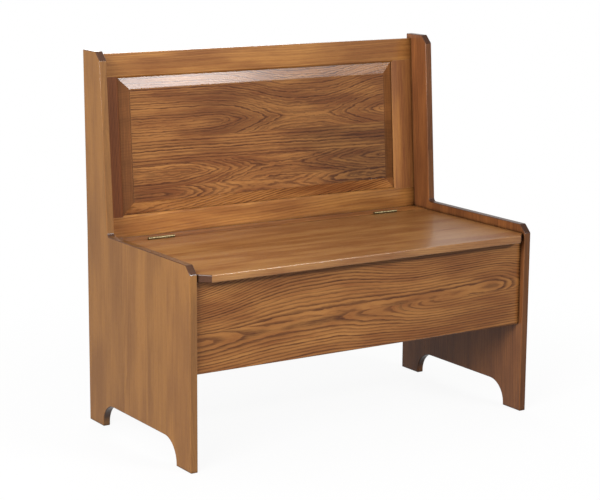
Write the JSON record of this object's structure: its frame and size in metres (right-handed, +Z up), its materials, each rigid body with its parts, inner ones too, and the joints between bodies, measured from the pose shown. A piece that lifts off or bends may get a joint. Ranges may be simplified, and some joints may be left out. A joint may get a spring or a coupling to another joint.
{
  "type": "settle bench",
  "caption": "Small hall settle: solid end panels with chair-shaped sides, a raked raised-panel back and a hinged seat lid over a storage box.",
  "frame": {"origin": "on the floor below the centre of the overall box", "axes": "+Z up, -Y towards someone who faces the bench, +X along its length to their right"},
  "size_m": [1.026, 0.56, 0.965],
  "materials": {
    "stained_oak": "medium brown stain under satin lacquer",
    "inside_wood": "plain, thinly stained",
    "hinge_metal": "antique",
    "screw_metal": "antique"
  },
  "bodies": {
    "bench": {"left_end_panel": "stained_oak", "right_end_panel": "stained_oak", "front_panel": "stained_oak", "box_back_panel": "inside_wood", "box_bottom_panel": "inside_wood", "front_bottom_cleat": "inside_wood", "rear_bottom_cleat": "inside_wood", "left_bottom_cleat": "inside_wood", "right_bottom_cleat": "inside_wood", "left_seat_cleat": "inside_wood", "right_seat_cleat": "inside_wood", "hinge_rail": "stained_oak", "hinge_rail_ledger": "inside_wood", "back_top_rail": "stained_oak", "back_bottom_rail": "stained_oak", "back_left_stile": "stained_oak", "back_right_stile": "stained_oak", "raised_back_panel": "stained_oak", "left_hinge_fixed_leaf": "hinge_metal", "right_hinge_fixed_leaf": "hinge_metal", "left_hinge_pin": "hinge_metal", "right_hinge_pin": "hinge_metal", "hinge_fixed_screws": "screw_metal"},
    "lid": {"seat_lid": "stained_oak", "lid_left_batten": "inside_wood", "lid_right_batten": "inside_wood", "left_hinge_lid_leaf": "hinge_metal", "right_hinge_lid_leaf": "hinge_metal", "hinge_lid_screws": "screw_metal"}
  },
  "joints": [
    {"name": "lid_hinge", "type": "hinge", "parent": "bench", "child": "lid", "pos_m": [0, 0.171, 0.48575], "axis": [-1, 0, 0], "range_deg": [0, 101.5]}
  ]
}
